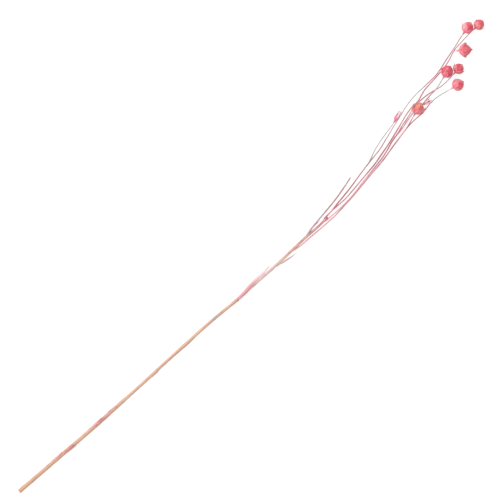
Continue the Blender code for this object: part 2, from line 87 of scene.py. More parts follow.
# Each stalk: its parent, the X where it leaves it and the points of its middle line (x, y, z, radius).
STEMS = {
    "main_stem": (None, None, [
        (0, -0.75, 1.5, 1.5), (36, -3.5, 1.4, 1.4), (72, -6.3, 1.4, 1.4), (88, -7.3, 1.32, 1.32),
        (108, -8.4, 1.15, 1.15), (144, -10.1, 1.1, 1.1), (180, -12.1, 1.1, 1.1),
        (216, -15.2, 1.1, 1.1), (231, -16.0, 1.1, 1.1), (245, -17.0, 1.15, 1.05),
        (260, -17.6, 1.5, 1.0), (270, -17.9, 1.85, 0.96), (278, -18.3, 2.2, 0.92),
        (286.6, -19.0, 2.6, 0.85), (296, -19.15, 3.05, 0.78),
    ]),
    "broken_twig": ("main_stem", 279.0, [
        (284, -16.4, 3.7, 0.62), (290, -15.8, 5.0, 0.6), (298.3, -15.1, 6.8, 0.6),
        (309.5, -14.0, 8.8, 0.6), (320, -12.2, 10.7, 0.58), (327.8, -10.6, 11.8, 0.45),
    ]),
    "upper_branch": ("main_stem", 295.5, [
        (299.5, -18.05, 3.4, 0.58), (303.6, -17.75, 3.8, 0.56), (306.9, -17.3, 4.2, 0.55),
        (314.8, -16.6, 4.9, 0.58), (325.3, -15.4, 5.6, 0.54), (334.9, -13.9, 6.0, 0.48),
        (346.7, -12.4, 6.2, 0.5), (351.5, -11.9, 6.2, 0.46), (358.6, -11.1, 6.2, 0.45),
        (364.2, -9.7, 6.1, 0.4), (370.1, -8.3, 6.0, 0.38), (377.7, -6.4, 5.9, 0.38),
        (385.4, -4.8, 5.6, 0.36), (393.3, -2.95, 5.3, 0.34), (402.5, -1.9, 5.0, 0.34),
        (413.1, -2.2, 4.8, 0.38), (425.4, -2.2, 4.9, 0.4), (436.8, 0.15, 5.2, 0.43),
        (448.3, 2.4, 5.5, 0.38), (455.5, 4.1, 5.8, 0.35),
    ]),
    "bud_branch": ("upper_branch", 347.0, [
        (354.3, -9.2, 7.4, 0.36), (362, -7.4, 8.2, 0.36), (371.6, -5.9, 8.9, 0.34), (376, -5.3, 9.2, 0.32),
    ]),
    "middle_branch": ("upper_branch", 305.5, [
        (314.6, -18.8, 3.8, 0.45), (325.5, -18.1, 3.5, 0.45), (336.7, -17.15, 3.4, 0.47),
        (347.9, -16.2, 3.6, 0.56), (357.1, -14.5, 4.4, 0.56), (364.2, -13.2, 5.5, 0.52),
        (373.9, -10.9, 7.6, 0.52), (380.8, -9.1, 9.1, 0.43), (388.2, -7.2, 10.6, 0.43),
        (394.6, -6.25, 11.2, 0.45), (401.5, -6.25, 10.9, 0.48), (405.5, -5.15, 10.0, 0.5),
        (410.6, -4.0, 8.2, 0.49), (416, -3.75, 6.0, 0.44), (421.5, -3.55, 4.0, 0.41),
        (426.5, -3.2, 2.9, 0.41), (431.5, -2.9, 2.5, 0.4), (438.6, -1.45, 2.7, 0.38),
        (446.2, 0.9, 3.0, 0.36), (452.9, 1.4, 2.7, 0.34), (460.5, 1.6, 2.5, 0.33), (464.5, 1.6, 2.7, 0.33),
    ]),
    "lower_branch": ("main_stem", 295.0, [
        (299.5, -20.4, 2.6, 0.46), (303.5, -20.8, 2.35, 0.44), (308, -21.05, 2.2, 0.43),
        (314, -21.1, 2.1, 0.43), (323, -20.55, 2.0, 0.43), (334.7, -19.05, 2.0, 0.43),
        (345.9, -18.0, 2.0, 0.45), (356.6, -16.6, 1.9, 0.47), (362.2, -15.3, 1.8, 0.47),
        (368.3, -13.6, 1.7, 0.49), (376.4, -12.2, 1.5, 0.48), (381, -10.8, 1.4, 0.42),
        (387.1, -9.75, 1.2, 0.4), (392.8, -8.3, 1.1, 0.39), (398, -7.5, 1.1, 0.38),
        (402.7, -7.25, 1.2, 0.41), (408, -7.65, 1.3, 0.44), (412.1, -8.4, 1.4, 0.4),
        (416.2, -9.4, 1.5, 0.33), (420.2, -10.5, 1.8, 0.33), (423.8, -11.0, 2.2, 0.33),
        (429, -11.1, 2.9, 0.32),
    ]),
    "side_branch": ("main_stem", 264.0, [
        (268, -19.65, 1.1, 0.43), (277.4, -20.45, 0.9, 0.42), (286.8, -21.3, 0.75, 0.42),
        (294, -21.85, 0.7, 0.42), (301.5, -22.2, 0.7, 0.42), (307, -22.05, 0.7, 0.42),
        (311.5, -21.8, 0.7, 0.42), (318, -21.6, 0.7, 0.42), (328.3, -20.75, 0.7, 0.43),
        (340, -19.6, 0.7, 0.44), (347.9, -19.1, 0.75, 0.45), (355.8, -18.3, 0.8, 0.46),
        (365.7, -16.7, 1.0, 0.46), (374.1, -15.5, 1.3, 0.43), (383.8, -14.3, 1.7, 0.4),
        (388.2, -14.1, 1.8, 0.38), (395.8, -14.5, 1.8, 0.38), (401.9, -14.5, 1.9, 0.38),
        (406.7, -13.8, 2.0, 0.36), (411.8, -13.95, 2.3, 0.35), (416.2, -14.7, 2.7, 0.34),
        (421.5, -16.1, 3.3, 0.33),
    ]),
    "pedicel_3": ("middle_branch", 445.8, []),
    "pedicel_4": ("lower_branch", 377.5, [
        (384, -11.4, 1.3, 0.38), (389, -10.5, 1.1, 0.38), (393, -9.9, 1.0, 0.38), (398, -10.2, 1.0, 0.38),
        (403.2, -10.2, 1.0, 0.38), (407.3, -9.9, 1.3, 0.41), (411.6, -9.6, 2.0, 0.37),
        (415.7, -9.6, 2.9, 0.36), (419.7, -9.0, 3.8, 0.35), (423.4, -8.2, 4.8, 0.34),
    ]),
    "pedicel_7": ("side_branch", 384.0, [(388.7, -12.6, 3.9, 0.35)]),
    "bud_pedicel": ("pedicel_4", 401.5, []),
}

# Each capsule: its stalk, centre, radius, how far its sepal tips stand off, the turn of its sepals and how
# far its round shape goes over to a diamond.
CAPSULES = [
    ("upper_branch", (464.0, 5.6, 6.25), 3.9, 0.2, 0, 0.0),
    ("middle_branch", (471.7, 1.3, 4.2), 3.45, 0.4, 30, 0.0),
    ("pedicel_3", (451.3, -4.4, 6.2), 4.45, 0.3, 54, 0.6),
    ("pedicel_4", (431.1, -6.3, 7.0), 4.1, 0.3, 18, 0.0),
    ("lower_branch", (438.8, -10.6, 4.4), 3.45, 0.5, 60, 0.0),
    ("side_branch", (430.3, -18.4, 4.6), 3.95, 0.2, 10, 0.0),
    ("pedicel_7", (397.6, -10.1, 6.9), 4.1, 0.3, 36, 0.0),
]

# Each bud: its stalk, centre, half length, radius, how far its sepal tips stand out (below 0 they close over
# it), their turn, their height above the bud's middle in half lengths and how far up they start to fade.
BUDS = [
    ("bud_branch", (382.4, -3.8, 9.8), 2.6, 1.4, -0.8, 20, 1.9, 0.3),
    ("bud_pedicel", (406.0, -11.8, 4.2), 2.1, 1.1, 0.5, 55, 1.4, 0.1),
]

# Each leaf or bract: its stalk, the X of its foot, its length, its width, the sides that its foot and its tip
# lie on (degrees about the stalk: 0 is +Y, 90 is up), how far its tip stands off, how late it bends off, how
# faded it is and how withered.
LEAVES = {
    "leaf_1": ("main_stem", 209.5, 33.0, 4.2, 85, 15, 1.5, 1.6, 1.0, 0.0),
    "leaf_2": ("main_stem", 246.0, 17.5, 1.3, 172, 172, 2.7, 1.0, 0.0, 0.5),
    "leaf_3": ("main_stem", 32.0, 10.0, 1.8, 35, 35, 0.2, 2.0, 0.3, 0.0),
    "leaf_4": ("main_stem", 44.0, 12.0, 1.6, 172, 172, 0.6, 2.0, 0.4, 0.0),
    "leaf_5": ("main_stem", 68.0, 12.0, 2.0, 30, 30, 0.3, 2.0, 0.2, 0.0),
    "leaf_6": ("main_stem", 81.0, 11.0, 1.6, 20, 20, 0.5, 2.0, 0.7, 0.0),
    "leaf_7": ("main_stem", 203.0, 10.0, 1.6, 178, 178, 0.2, 2.0, 0.3, 0.0),
    "bract_1": ("broken_twig", 285.0, 6.0, 1.1, 200, 200, 0.6, 2.0, 0.9, 0.0),
    "bract_2": ("main_stem", 289.0, 6.8, 1.4, 75, 75, 0.3, 2.0, 0.7, 0.0),
    "bract_3": ("side_branch", 396.0, 6.5, 2.4, 60, 60, 1.1, 2.0, 0.8, 0.1),
}

# Patches on the stalks: from X to X, how much rose, deep red and grey, and its side in degrees where it has
# one.
# Most are dye, but the ones on sides 180 to 200, away from the light, are partly painted shade: they darken
# and redden the shaded lower edge of the stalk.
DYE_AND_SHADE_EDGE = 4  # how far a patch fades out beyond its ends
DYE_AND_SHADE = {
    "main_stem": [
        (12, 19, (0.25, 0, 0.25), 40), (25, 31, (0, 0, 0.2), 90), (35, 52, (0.1, 0.25, 0)),
        (37, 45, (0, 0.35, 0), 200), (50, 57, (0.3, 0.1, 0), 190), (54, 62, (0, 0.1, 0), 90),
        (69, 86, (0.15, 0.34, 0)), (84, 90, (0.6, 0, 0), 20), (126, 135, (0.25, 0, 0.3), 190),
        (130, 175, (0.1, 0.1, 0), 190), (148, 155, (0.2, 0.15, 0.1), 190), (161, 169, (0.3, 0, 0.3), 190),
        (183, 192, (0, 0, 0.45)), (209, 236, (0.25, 0, 0)), (222, 248, (0.5, 0.15, 0.1), 180),
        (240, 248, (0.3, 0.05, 0)), (260, 276, (0.35, 0.1, 0)), (274, 293, (0.4, 0, 0.1)),
        (291, 300, (0.5, 0.35, 0)),
    ],
    "broken_twig": [(270, 299, (0.7, 0.5, 0.75)), (297, 330, (0.9, 0.9, 0.5))],
    "upper_branch": [
        (290, 305, (0.5, 0.2, 0)), (302, 311, (0.75, 0.25, 0)), (310, 348, (0.9, 0.8, 0.35)),
        (346, 366, (0.9, 0.6, 0.5)), (364, 380, (0.4, 0, 0.6)), (378, 412, (0, 0, 1.0)),
        (410, 428, (0.9, 0.4, 0.1)), (424, 460, (0.9, 0.8, 0.3)),
    ],
    "bud_branch": [(340, 378, (0.3, 0, 1.0)), (377, 386, (0.9, 0.5, 0))],
    "middle_branch": [
        (300, 340, (0.6, 0.2, 0.15)), (338, 378, (0.9, 1.0, 0.2)), (376, 388, (0.7, 0.3, 0.2)),
        (386, 406, (0.9, 1.0, 0.4)), (404, 436, (0.8, 0.6, 0.3)), (430, 448, (0.6, 0.15, 0.2)),
        (448, 466, (0, 0, 0.7)),
    ],
    "lower_branch": [
        (290, 342, (0.1, 0.1, 0)), (342, 362, (0.5, 0.3, 0)), (360, 380, (0.8, 0.7, 0.1)),
        (378, 404, (0.3, 0.1, 0.05)), (403, 416, (0.9, 1.0, 0.4)), (414, 432, (0.1, 0, 0.9)),
    ],
    "side_branch": [
        (262, 300, (0.15, 0.05, 0)), (300, 345, (0.2, 0.05, 0)), (345, 366, (0.5, 0.3, 0.1)),
        (362, 374, (0.8, 0.6, 0.2)), (372, 382, (0.3, 0, 0.1)), (380, 400, (0.7, 0.3, 0.1)),
        (398, 410, (0.4, 0.1, 0)), (408, 425, (0.1, 0, 0.95)),
    ],
    "pedicel_3": [(440, 460, (0.1, 0, 0.1))],
    "pedicel_4": [
        (370, 398, (0.4, 0.2, 0.1)), (396, 412, (0.9, 1.0, 0.4)), (410, 419, (0.7, 0.5, 0.2)),
        (418, 430, (0.2, 0, 0.9)),
    ],
    "pedicel_7": [(380, 400, (0.8, 0.6, 0.3))],
    "bud_pedicel": [(395, 410, (0.9, 0.9, 0.4))],
}

# The bare ends of stalks, from inside out: how far in along the stalk, and the share of its radius.
CUT_END = [(1.3, 0.1), (1.0, 0.3), (0.25, 0.36), (0.05, 0.42), (-0.05, 0.6), (0.0, 0.84), (0.12, 0.89),
           (0.05, 0.96)]
BROKEN_END = [(1.0, 0.08), (0.5, 0.4), (-0.1, 0.62), (-0.25, 0.8)]
BARE_ENDS = {"main_stem": (CUT_END, None), "broken_twig": (None, BROKEN_END)}

# Old nodes of the main stem: X, how far the swelling runs before and after it, its side and its height.
SWELLINGS = [(99.0, 6.0, 2.0, 20, 0.25), (131.0, 8.0, 1.5, 190, 0.42), (162.0, 9.0, 4.5, 190, 0.4)]

# Stretches of the main stem that weathered: where they start and end, then how brown and how bleached.
WEATHER_EDGE = 5
WEATHER = [
    (-10, 56, (0.85, 0)), (56, 96, (0.55, 0)), (96, 210, (0.35, 0)), (148, 170, (0.55, 0)),
    (226, 247, (0, 0.55)),
]

# Patches on the capsules: a direction (+X to the tip, +Y to the light, +Z up), its spread in degrees, and how
# much pale, deep and orange colour it has. They are partly dye and partly painted light: pale and orange
# patches that face the light and the top are partly painted highlights, deep ones on the side away from the
# light painted shade.
CAPSULE_DYE_AND_LIGHT = [
    [((0, 0, 1.0), 120, (0, 0.15, 0)), ((-0.4, 0.8, 0.4), 60, (0.9, 0, 0)),
     ((0.2, -0.6, 0.8), 45, (0, 0.9, 0)), ((0.8, 0.1, 0.5), 25, (0, 0, 0.7))],
    [((0, 0, 1.0), 120, (0, 0.35, 0)), ((-0.4, 0.7, 0.5), 50, (0.6, 0, 0)),
     ((0.6, 0.5, 0.6), 20, (0, 0.6, 0)), ((-0.5, -0.3, 0.8), 45, (0, 0.2, 0.6))],
    [((0, 0.2, 1.0), 120, (0.2, 0.15, 0)), ((0.2, -0.6, 0.7), 40, (0, 0.6, 0))],
    [((0, 0, 1.0), 120, (0, 0.75, 0.3)), ((-0.7, 0.1, 0.6), 40, (0, 0.7, 0)),
     ((0.3, 0.3, 0.9), 25, (0.5, 0, 0.3)), ((0.3, -0.8, 0.5), 40, (0, 0.8, 0))],
    [((0, 0, 1.0), 120, (0, 0.5, 0.1)), ((-0.5, 0.8, 0.4), 35, (0.8, 0, 0)),
     ((-0.3, 0.2, 0.9), 30, (0, 0.9, 0)), ((0.8, -0.1, 0.4), 35, (0.6, 0, 0))],
    [((0.1, 0.7, 0.6), 45, (0.5, 0, 0)), ((0.3, -0.3, 0.9), 28, (0, 0.7, 0)),
     ((0.8, 0.2, 0.4), 35, (0.7, 0, 0))],
    [((0.4, 0.5, 0.8), 60, (0.2, 0, 1.0)), ((0.46, -0.33, 0.82), 30, (0, 0.7, 0.4)),
     ((-0.5, -0.3, 0.8), 75, (0, 0.6, 0.85)), ((0.2, -0.9, 0.2), 35, (0.7, 0, 0))],
]

# Paints of two tones, light then dark.
STRAW = ((0.79, 0.53, 0.41), (0.52, 0.29, 0.21))
DYED = ((0.93, 0.48, 0.51), (0.74, 0.31, 0.35))
ROSE = ((0.66, 0.25, 0.32), (0.44, 0.12, 0.19))
DEEP_RED = ((0.66, 0.17, 0.21), (0.38, 0.07, 0.1))
GREY = ((0.52, 0.45, 0.43), (0.32, 0.25, 0.25))
BROWNED = ((0.74, 0.46, 0.3), (0.46, 0.22, 0.12))
BLEACHED = ((0.82, 0.66, 0.66), (0.74, 0.52, 0.52))
PITH = ((0.85, 0.72, 0.52), (0.62, 0.44, 0.26))
CORAL = ((0.88, 0.17, 0.2), (0.74, 0.1, 0.13))
ORANGE = ((0.85, 0.24, 0.17), (0.74, 0.13, 0.11))
# The pale and orange patch paints are partly painted highlight, and the deep patch paint is partly painted
# shade.
ORANGE_PATCH_AND_HIGHLIGHT = ((0.91, 0.41, 0.28), (0.86, 0.29, 0.18))
DEEP_PATCH_AND_SHADE = ((0.76, 0.08, 0.15), (0.55, 0.04, 0.08))
PALE_PATCH_AND_HIGHLIGHT = ((0.92, 0.48, 0.51), (0.7, 0.25, 0.3))
BUD_PETALS = ((0.85, 0.22, 0.39), (0.72, 0.15, 0.29))

# Paints of one tone.
SPECK = (0.3, 0.16, 0.1)
SCAR = (0.26, 0.12, 0.08)
# The next paint is a painted highlight, laid in pale streaks from base to beak on capsules and buds.
PALE_HIGHLIGHT_STREAK = (0.94, 0.5, 0.46)
SEAM = (0.36, 0.05, 0.07)
BEAK = (0.34, 0.2, 0.17)
# The sepal patch paints follow the capsule's patches: orange and pale are partly painted highlights, deep
# partly painted shade.
ORANGE_SEPAL_AND_HIGHLIGHT = (0.88, 0.33, 0.21)
DEEP_SEPAL_AND_SHADE = (0.72, 0.08, 0.15)
PALE_SEPAL_AND_HIGHLIGHT = (0.92, 0.5, 0.54)

# Paints of the thin blades: the face in two tones, then the edges, the veins, the tip and bleached stretches.
BLADE_PAINTS = {
    "sepal": (((0.9, 0.24, 0.29), (0.8, 0.15, 0.2)), (0.93, 0.46, 0.5),
              (0.62, 0.16, 0.2), (0.43, 0.2, 0.24), (0.9, 0.58, 0.61)),
    "bud_sepal": (((0.83, 0.22, 0.37), (0.72, 0.15, 0.28)), (0.88, 0.45, 0.56),
                  (0.56, 0.12, 0.24), (0.36, 0.27, 0.3), (0.94, 0.66, 0.72)),
    "dried_leaf": (((0.71, 0.365, 0.375), (0.62, 0.26, 0.28)), (0.94, 0.72, 0.73),
                   (0.62, 0.3, 0.32), (0.4, 0.32, 0.36), (0.96, 0.8, 0.81)),
    "bract": (((0.78, 0.26, 0.31), (0.62, 0.14, 0.19)), (0.84, 0.38, 0.42),
              (0.48, 0.1, 0.15), (0.52, 0.21, 0.29), (0.9, 0.58, 0.61)),
}

# Floor, light and camera.
FLOOR_HALF = 3.0  # from the middle of the surface to its edge, in metres
FLOOR_WHITE = 0.82  # how much of the surface's white is its own, so that it doesn't hang on the lamps
FLOOR_SHADE = 0.26  # and how much of it takes the object's shadow
FLOOR_GREY = 0.8  # the surface that lights the object from below
WORLD_STRENGTH = 0.8
LAMP_SIZE = 0.9  # in metres
LAMP_POWER = 13.0  # in watts
LAMP_PLACE = (-0.25, 0.95, 1.05)  # in metres; it looks at the middle of the row frame
VIEW_TURN = 45.2  # how far the stem points up and to the right in the view, in degrees
VIEW_CENTRE = (2.8, 10.12, 3.0)  # what the camera looks down on, in millimetres in the row frame
VIEW_WIDTH = 360.0  # width that the view takes in, in millimetres
LENS = 150.0
SENSOR = 36.0
CLIP_END = 20.0  # in metres

# ---------------- meshes


def smooth_step(low, high, value):
    """0 below low, 1 above high, and a smooth rise between them."""
    t = np.clip((value - low) / (high - low), 0.0, 1.0)
    return t * t * (3 - 2 * t)


def between(x, low, high, edge):
    """1 from low to high and 0 elsewhere, with soft edges."""
    return smooth_step(low - edge, low + edge, x) * (1 - smooth_step(high - edge, high + edge, x))


def hump(offset, width):
    """1 where offset is 0, falling smoothly to 0 beside it."""
    return np.exp(-((offset / width) ** 2))


def grain_noise(points, scale, seed):
    """Smooth noise from -1 to 1 at each point of an array (..., 3), whose axes are scaled first."""
    flat = (np.asarray(points) * scale + seed).reshape(-1, 3)
    values = [noise.noise(Vector(point)) for point in flat]
    return np.array(values).reshape(np.shape(points)[:-1])


def seed_of(name, span):
    """A number below span that is always the same for a name."""
    return sum(map(ord, name)) % span


def crosswise(along):
    """The level and the upward direction across each direction of an array (..., 3)."""
    level = np.cross((0, 0, 1), along)
    level /= np.linalg.norm(level, axis=-1, keepdims=True)
    return level, np.cross(along, level)


def grid_faces(rows, columns, closed=False, first=0):
    """Quads between the points of a grid; a closed grid joins its last column to its first."""
    across = columns if closed else columns - 1
    row, column = np.meshgrid(np.arange(rows - 1), np.arange(across), indexing="ij")
    near, far = row * columns + column, row * columns + (column + 1) % columns
    return (np.stack([near, far, far + columns, near + columns], -1).reshape(-1, 4) + first).tolist()


def tube_faces(rows, columns):
    """Quads round a tube, and a cap at each of its ends."""
    last = (rows - 1) * columns
    caps = [list(range(columns))[::-1], list(range(last, last + columns))]
    return grid_faces(rows, columns, closed=True) + caps


def make_piece(name, node, points, faces, attributes, material, thickness=0.0):
    """A smooth-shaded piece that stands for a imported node, of points in millimetres from the cut end. A sheet
    gets a thickness, half to each side. Nothing goes below the height at which resting pieces are flat."""
    points = np.array(points)
    points[..., 2] = np.maximum(points[..., 2], LOWEST + thickness / 2)
    mesh = bpy.data.meshes.new(name)
    mesh.from_pydata(((points - ROW_ORIGIN) * MM).reshape(-1, 3).tolist(), [], faces)
    for key, values in attributes.items():
        values = np.asarray(values, np.float32)
        kind, field = ("FLOAT_VECTOR", "vector") if values.ndim == points.ndim else ("FLOAT", "value")
        mesh.attributes.new(key, kind, "POINT").data.foreach_set(field, values.ravel())
    mesh.shade_smooth()
    mesh.materials.append(material)
    piece = bpy.data.objects.new(name, mesh)
    bpy.context.scene.collection.objects.link(piece)
    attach(piece, "root")
    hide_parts(node)
    if thickness:
        solidify = piece.modifiers.new("thickness", "SOLIDIFY")
        solidify.thickness = thickness * MM
        solidify.offset = 0.0


# ---------------- the courses of the stalks


def detail_of(name):
    """The points round a stalk, the step between its rings and the run between its leaf scars."""
    return MAIN_DETAIL if name == "main_stem" else SIDE_DETAIL


def smooth_route(points, step):
    """Rings (x, y, z, radius) along a smooth curve through the points."""
    points = np.array(points, float)
    steps = np.linalg.norm(np.diff(points[:, :3], axis=0), axis=1)
    slopes = np.gradient(points, np.concatenate([[0.0], np.cumsum(steps)]), axis=0)
    rings = []
    for i, length in enumerate(steps):
        count = math.ceil(length / step)
        for t in np.arange(count) / count:
            rings.append(
                (2 * t**3 - 3 * t**2 + 1) * points[i]
                + (t**3 - 2 * t**2 + t) * length * slopes[i]
                + (3 * t**2 - 2 * t**3) * points[i + 1]
                + (t**3 - t**2) * length * slopes[i + 1]
            )
    rings.append(points[-1])
    return np.array(rings)


def stem_at(rings, x):
    """The middle point, direction and radius of a stalk where it passes x."""
    place = [float(np.interp(x, rings[:, 0], rings[:, k])) for k in range(4)]
    i = int(np.clip(np.searchsorted(rings[:, 0], x), 1, len(rings) - 1))
    along = Vector(rings[i, :3] - rings[i - 1, :3]).normalized()
    return Vector(place[:3]), along, place[3]


def rooted(parent, fork_x, towards, radius):
    """The first two points of a side stalk: inside its parent, then where it parts from its side."""
    inside, _, parent_radius = stem_at(parent, fork_x - FORK_RUN)
    middle, along, _ = stem_at(parent, fork_x)
    aside = towards - middle
    aside -= aside.dot(along) * along
    aside.normalize()
    inside += aside * max(0.0, parent_radius - radius) * 0.5
    parting = middle + aside * (parent_radius + 0.5 * radius)
    return [(*inside, radius), (*parting, radius * FORK_COLLAR)]


def seat_depths():
    """The centre of what each stalk carries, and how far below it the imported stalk's end lies."""
    under_calyx = GAP + SEPAL_THICKNESS + GAP
    depths = {
        stem: (Vector(centre), CAPSULE_BASE * radius * diamond_share(0.0, diamond) + under_calyx)
        for stem, centre, radius, _, _, diamond in CAPSULES
    }
    for stem, centre, half_length, *_ in BUDS:
        depths[stem] = (Vector(centre), half_length + under_calyx)
    return depths


def stem_routes():
    """The rings of every stalk, and the axis of the capsule or bud on each stalk that carries one."""
    routes, axes = {}, {}
    depths = seat_depths()
    for name, (parent, fork_x, points) in STEMS.items():
        points = list(points)
        start_radius = points[0][3] if points else STALK_RADIUS
        end_radius = points[-1][3] if points else STALK_RADIUS
        if name in depths:
            centre, depth = depths[name]
            last = Vector(points[-1][:3]) if points else stem_at(routes[parent], fork_x)[0]
            axes[name] = axis = (centre - last).normalized()
            seat = centre - axis * depth
            points += [
                (*(seat - axis * RECEPTACLE_LENGTH), end_radius), (*seat, RECEPTACLE_RADIUS),
                (*(seat + axis * (GAP + SEPAL_THICKNESS)), RECEPTACLE_RADIUS * 0.9),
            ]
        if parent:
            points = rooted(routes[parent], fork_x, Vector(points[0][:3]), start_radius) + points
        routes[name] = smooth_route(points, detail_of(name)[1])
    return routes, axes


# ---------------- the skin of the stalks


def scar_shares(run, around, radius, spacing):
    """The scars of fallen leaves at each point of a stalk's grid: 1 where one stands out most."""
    shares = np.zeros(run.shape)
    for i, at in enumerate(np.arange(FIRST_SCAR, run.max() - 2.0, spacing)):
        at += 0.25 * spacing * noise.noise(Vector((i * 1.7, spacing, 0.5)))
        aside = (around - math.radians(SCAR_TURN) * i + math.pi) % (2 * math.pi) - math.pi
        ahead = run - at
        reach = np.where(ahead > 0, 0.45, 1.9) * radius
        shares += np.exp(-((ahead / reach) ** 2) - (aside / 0.55) ** 2)
    return shares


def swelling_heights(name, x, around):
    """How far the main stem swells at its old nodes, at each point of a stalk's grid."""
    heights = np.zeros(x.shape)
    for at, before, after, side, height in SWELLINGS if name == "main_stem" else ():
        reach = np.where(x > at, after, before)
        heights += height * hump(x - at, reach) * np.maximum(0.0, np.cos(around - math.radians(side)))
    return heights


def dye_and_shade_at(name, x, around):
    """The rose, deep red and grey at each point of a stalk's grid, from its patches of dye and painted shade.
    """
    dye = np.zeros((*x.shape, 3))
    for low, high, amounts, *side in DYE_AND_SHADE[name]:
        share = between(x, low, high, DYE_AND_SHADE_EDGE)
        # A patch with a side lies round that side only; the patches on the side away from the light are painted
        # shade.
        if side:
            share = share * smooth_step(-0.6, 0.8, np.cos(around - math.radians(side[0])))
        dye = np.maximum(dye, share[..., None] * amounts)
    return dye


def weather_at(name, x):
    """How brown and how bleached a stalk is at x, and a 0. Only the main stem is weathered."""
    weather = np.zeros((*x.shape, 3))
    for low, high, amounts in WEATHER if name == "main_stem" else ():
        share = between(x, low, high, WEATHER_EDGE)
        weather = np.maximum(weather, share[..., None] * (*amounts, 0))
    return weather


def end_rows(bare, radius):
    """The rows of a stalk's end, from inside out: how far in along the stalk, and the radius. An end that
    isn't bare is rounded."""
    if bare:
        return [(ahead, share * radius) for ahead, share in bare]
    return [(-radius * math.cos(a), radius * math.sin(a)) for a in (0.05, 0.4, 0.8, 1.2)]


def stalk_rows(rings, start, end):
    """The rows of a stalk with both its ends: their centres, directions, runs from the start, and radii."""
    steps = np.linalg.norm(np.diff(rings[:, :3], axis=0), axis=1)
    length = np.concatenate([[0.0], np.cumsum(steps)])
    tangents = np.gradient(rings[:, :3], length, axis=0)
    tangents /= np.linalg.norm(tangents, axis=1)[:, None]
    first = [(rings[0, :3] + tangents[0] * ahead, tangents[0], ahead, r) for ahead, r in start]
    body = list(zip(rings[:, :3], tangents, length, rings[:, 3]))
    last = [(rings[-1, :3] - tangents[-1] * back, tangents[-1], length[-1] - back, r)
            for back, r in reversed(end)]
    return [np.array(column) for column in zip(*(first + body + last))]


def make_stem(name, rings, material):
    """A stalk with fine ridges, leaf scars and finished ends."""
    sides, _, scar_spacing = detail_of(name)
    bare_start, bare_end = BARE_ENDS.get(name, (None, None))
    start, end = end_rows(bare_start, rings[0, 3]), end_rows(bare_end, rings[-1, 3])
    centres, along, runs, radii = stalk_rows(rings, start, end)
    level, up = crosswise(along)
    run, angle = np.meshgrid(runs, 2 * math.pi * np.arange(sides) / sides, indexing="ij")
    x = np.repeat(centres[:, :1], sides, axis=1)
    skin = np.pad(rings[:, 3], (len(start), len(end)), "edge")[:, None]
    inner, wood = np.ones(run.shape, bool), np.zeros(run.shape)
    inner[len(start):-len(end)] = False
    wood[:len(start)] = bare_start is not None
    wood[-len(end):] = bare_end is not None

    circle = np.stack([np.cos(angle), np.sin(angle), run * 0.05], -1)
    seed = np.array((seed_of(name, 50), 3.0, 7.0))
    ridges = sum(RIDGE_HEIGHT * grain_noise(circle, scale, seed) for scale in RIDGE_SCALES)
    scars = scar_shares(run, angle, skin, scar_spacing)
    radius = radii[:, None] + np.where(inner, 0.0, swelling_heights(name, x, angle))
    radius = radius * (1 + ridges) + np.where(inner, 0.0, SCAR_HEIGHT * skin * scars)
    ragged = np.where(inner, 0.25 * skin * grain_noise(circle, (3.0, 3.0, 8.0), seed + 9), 0.0)

    aside, above = radius * np.cos(angle), radius * np.sin(angle)
    points = (centres[:, None] + level[:, None] * aside[..., None] + up[:, None] * above[..., None]
              + along[:, None] * ragged[..., None])
    attributes = {
        "grain": np.stack([aside, above, run], -1),
        "tint": dye_and_shade_at(name, x, angle),
        "weather": weather_at(name, x),
        "scar": scars,
        "wood": wood,
    }
    faces = tube_faces(len(centres), sides)
    make_piece(name + "_stalk", name, points, faces, attributes, material)


# ---------------- capsules


def axis_frame(axis, turn):
    """Two directions across an axis, and the axis, as the rows of a matrix, turned about it by degrees."""
    quaternion = axis.to_track_quat("Z", "Y")
    side, other = quaternion @ Vector((1, 0, 0)), quaternion @ Vector((0, 1, 0))
    turn = math.radians(turn)
    return np.array([
        side * math.cos(turn) + other * math.sin(turn),
        other * math.cos(turn) - side * math.sin(turn),
        axis,
    ])


def capsule_profile(polar):
    """Radius of a capsule of radius 1, at an angle from its base: flattened there, with a beak at the tip."""
    base = (1 - CAPSULE_BASE) * hump(polar, 0.75)
    shoulder = 0.05 * hump(math.pi - polar, 0.42)
    beak = 0.11 * hump(math.pi - polar, 0.09)
    return 1 - base + shoulder + beak


def seams(around, count, width):
    """1 on each of a capsule's seams, falling to 0 beside it."""
    offset = (around * count / (2 * math.pi) + 0.5) % 1.0 - 0.5
    return hump(offset * 2 * math.pi / count, width)


def direction_patches(directions, patches):
    """The amounts of each colour at unit directions, from patches round some of them."""
    amounts = np.zeros(directions.shape)
    for towards, spread, colour in patches:
        towards = np.array(towards) / np.linalg.norm(towards)
        angle = np.arccos(np.clip(directions @ towards, -1, 1))
        share = 1 - smooth_step(0.35, 1.15, angle / math.radians(spread))
        amounts = np.maximum(amounts, share[..., None] * colour)
    return amounts


def diamond_share(polar, share):
    """Factor that takes a circle over to a diamond with its corners at both ends and halfway between."""
    return 1 - share + share * 1.15 / (np.abs(np.cos(polar)) + np.abs(np.sin(polar)))


def capsule_grid():
    """The angles from a capsule's base and round its axis, and the directions that they stand for."""
    rows = np.linspace(0.0, 1.0, CAPSULE_ROWS)
    polar = math.pi * (0.004 + 0.993 * (rows + 0.06 * np.sin(2 * math.pi * rows)))
    around = 2 * math.pi * np.arange(CAPSULE_COLUMNS) / CAPSULE_COLUMNS
    polar, around = np.meshgrid(polar, around, indexing="ij")
    outwards = np.sin(polar)
    return polar, around, np.stack([outwards * np.cos(around), outwards * np.sin(around), -np.cos(polar)], -1)


